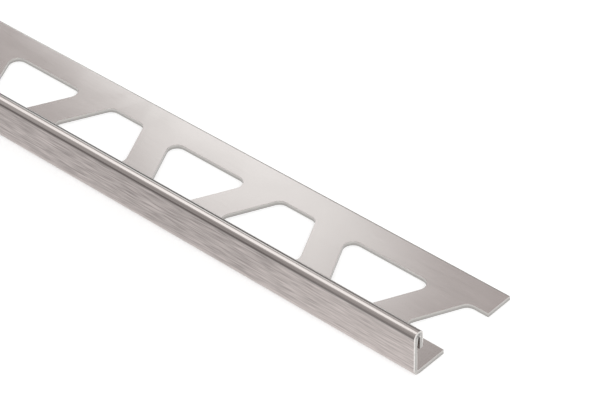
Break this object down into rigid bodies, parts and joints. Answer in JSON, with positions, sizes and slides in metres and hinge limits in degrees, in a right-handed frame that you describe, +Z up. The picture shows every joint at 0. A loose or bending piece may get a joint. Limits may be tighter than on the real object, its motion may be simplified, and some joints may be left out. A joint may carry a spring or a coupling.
{
  "type": "tile edge trim",
  "caption": "Straight L-shaped tile edge trim of brushed stainless sheet, with a hemmed front wall and a flat anchoring leg punched with alternating rounded trapezoids.",
  "frame": {"origin": "middle of the trim's bounding box, on the underside of the leg", "axes": "+X along the stock to the cut end that the picture shows, +Y from the front wall to the back edge of the leg, +Z up the wall"},
  "size_m": [1, 0.0274, 0.01],
  "materials": {
    "steel": "lengthwise brushed front wall and rolled edge, satin leg, bare cut edges"
  },
  "bodies": {
    "root": {"edge_profile": "steel"}
  },
  "joints": []
}
